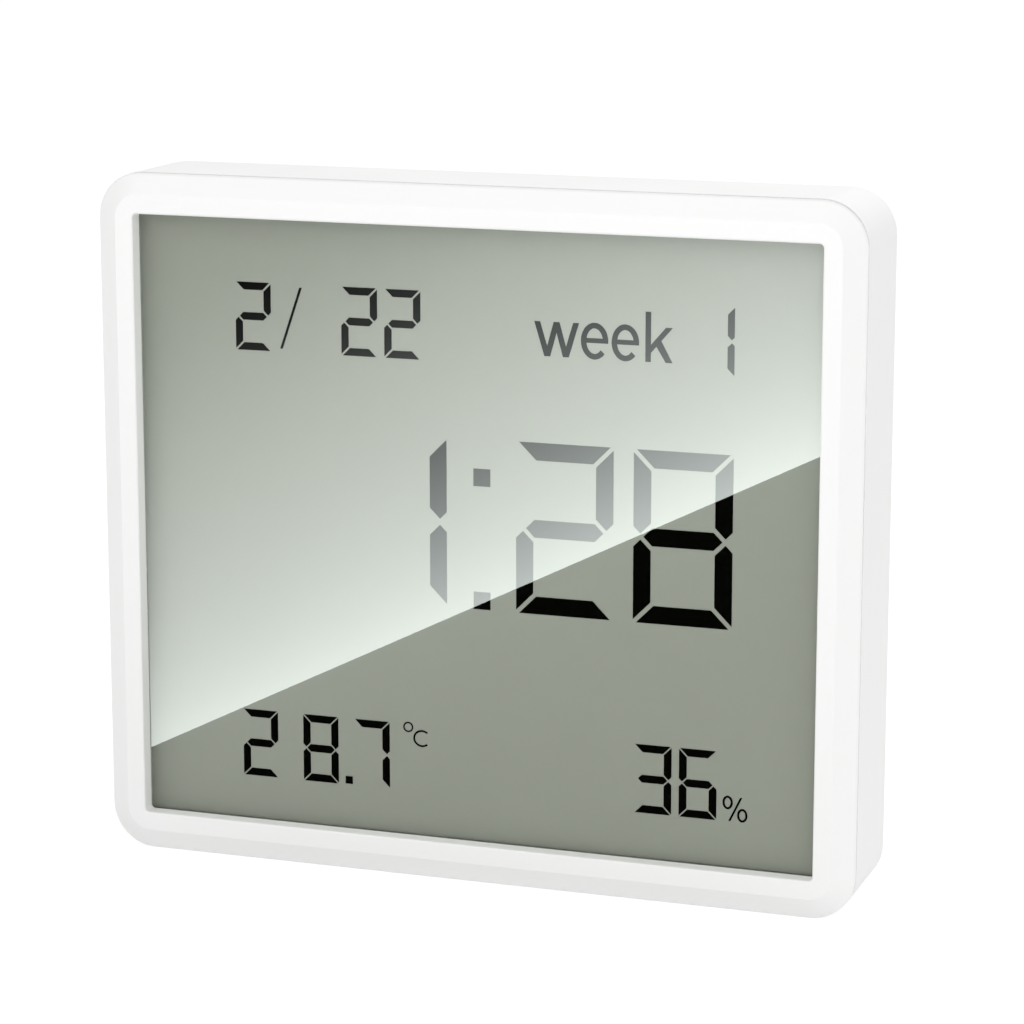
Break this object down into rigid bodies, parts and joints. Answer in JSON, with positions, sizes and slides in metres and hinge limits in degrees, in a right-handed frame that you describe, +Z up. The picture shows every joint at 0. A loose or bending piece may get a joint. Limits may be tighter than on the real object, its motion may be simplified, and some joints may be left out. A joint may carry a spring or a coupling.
{
  "type": "temperature humidity sensor",
  "caption": "Flat white desk sensor with a full-face segment display in a deep window, a folding stand, hanging hole, keys, air slots and battery door in its back.",
  "frame": {"origin": "under the middle of the flat bottom, halfway through the depth", "axes": "+Z up, -Y out of the display, +X to the right as the display is read"},
  "size_m": [0.08, 0.0136, 0.071],
  "materials": {
    "housing_white": "moulded ABS, satin white",
    "cover_white": "moulded ABS, satin white",
    "key_white": "moulded ABS, satin white",
    "clear_window": "clear polished acrylic",
    "clear_tape": "double-sided tape",
    "polariser_film": "polarising film, seen grey-green over the reflector",
    "display_glass": "soda-lime display glass",
    "reflector_film": "grey-green transflective film",
    "strip_rubber": "layered silicone",
    "tray_plastic": "moulded ABS",
    "board_laminate": "green solder mask",
    "chip_black": "moulded epoxy",
    "switch_black": "moulded nylon",
    "capacitor_brown": "ceramic",
    "plated_steel": "nickel plate"
  },
  "bodies": {
    "housing": {"front_bezel": "housing_white", "rear_housing": "housing_white", "display_window": "clear_window", "window_adhesive": "clear_tape", "front_polariser": "polariser_film", "front_glass": "display_glass", "rear_glass": "display_glass", "reflector": "reflector_film", "connector_strip": "strip_rubber", "display_holder": "tray_plastic", "main_board": "board_laminate", "radio_board": "board_laminate", "controller_chip": "chip_black", "climate_sensor": "chip_black", "tactile_switches": "switch_black", "board_capacitors": "capacitor_brown", "coin_cell": "plated_steel", "clock_crystal": "plated_steel", "radio_shield": "plated_steel", "negative_contact": "plated_steel", "positive_contact": "plated_steel", "board_screws": "plated_steel"},
    "kickstand": {"kickstand": "cover_white"},
    "battery_door": {"battery_door": "cover_white"},
    "set_key": {"set_key": "key_white", "set_plunger": "switch_black"},
    "up_key": {"up_key": "key_white", "up_plunger": "switch_black"},
    "down_key": {"down_key": "key_white", "down_plunger": "switch_black"}
  },
  "joints": [
    {"name": "kickstand_hinge", "type": "hinge", "parent": "housing", "child": "kickstand", "pos_m": [0, 0.00565, 0.03181], "axis": [1, 0, 0], "range_deg": [0, 45]},
    {"name": "battery_door_lift", "type": "slide", "parent": "housing", "child": "battery_door", "axis": [0, 1, 0], "range_m": [0, 0.012]},
    {"name": "set_key_press", "type": "slide", "parent": "housing", "child": "set_key", "axis": [0, -1, 0], "range_m": [0, 0.0004], "stiffness_N_per_m": 3000},
    {"name": "up_key_press", "type": "slide", "parent": "housing", "child": "up_key", "axis": [0, -1, 0], "range_m": [0, 0.0004], "stiffness_N_per_m": 3000},
    {"name": "down_key_press", "type": "slide", "parent": "housing", "child": "down_key", "axis": [0, -1, 0], "range_m": [0, 0.0004], "stiffness_N_per_m": 3000}
  ]
}
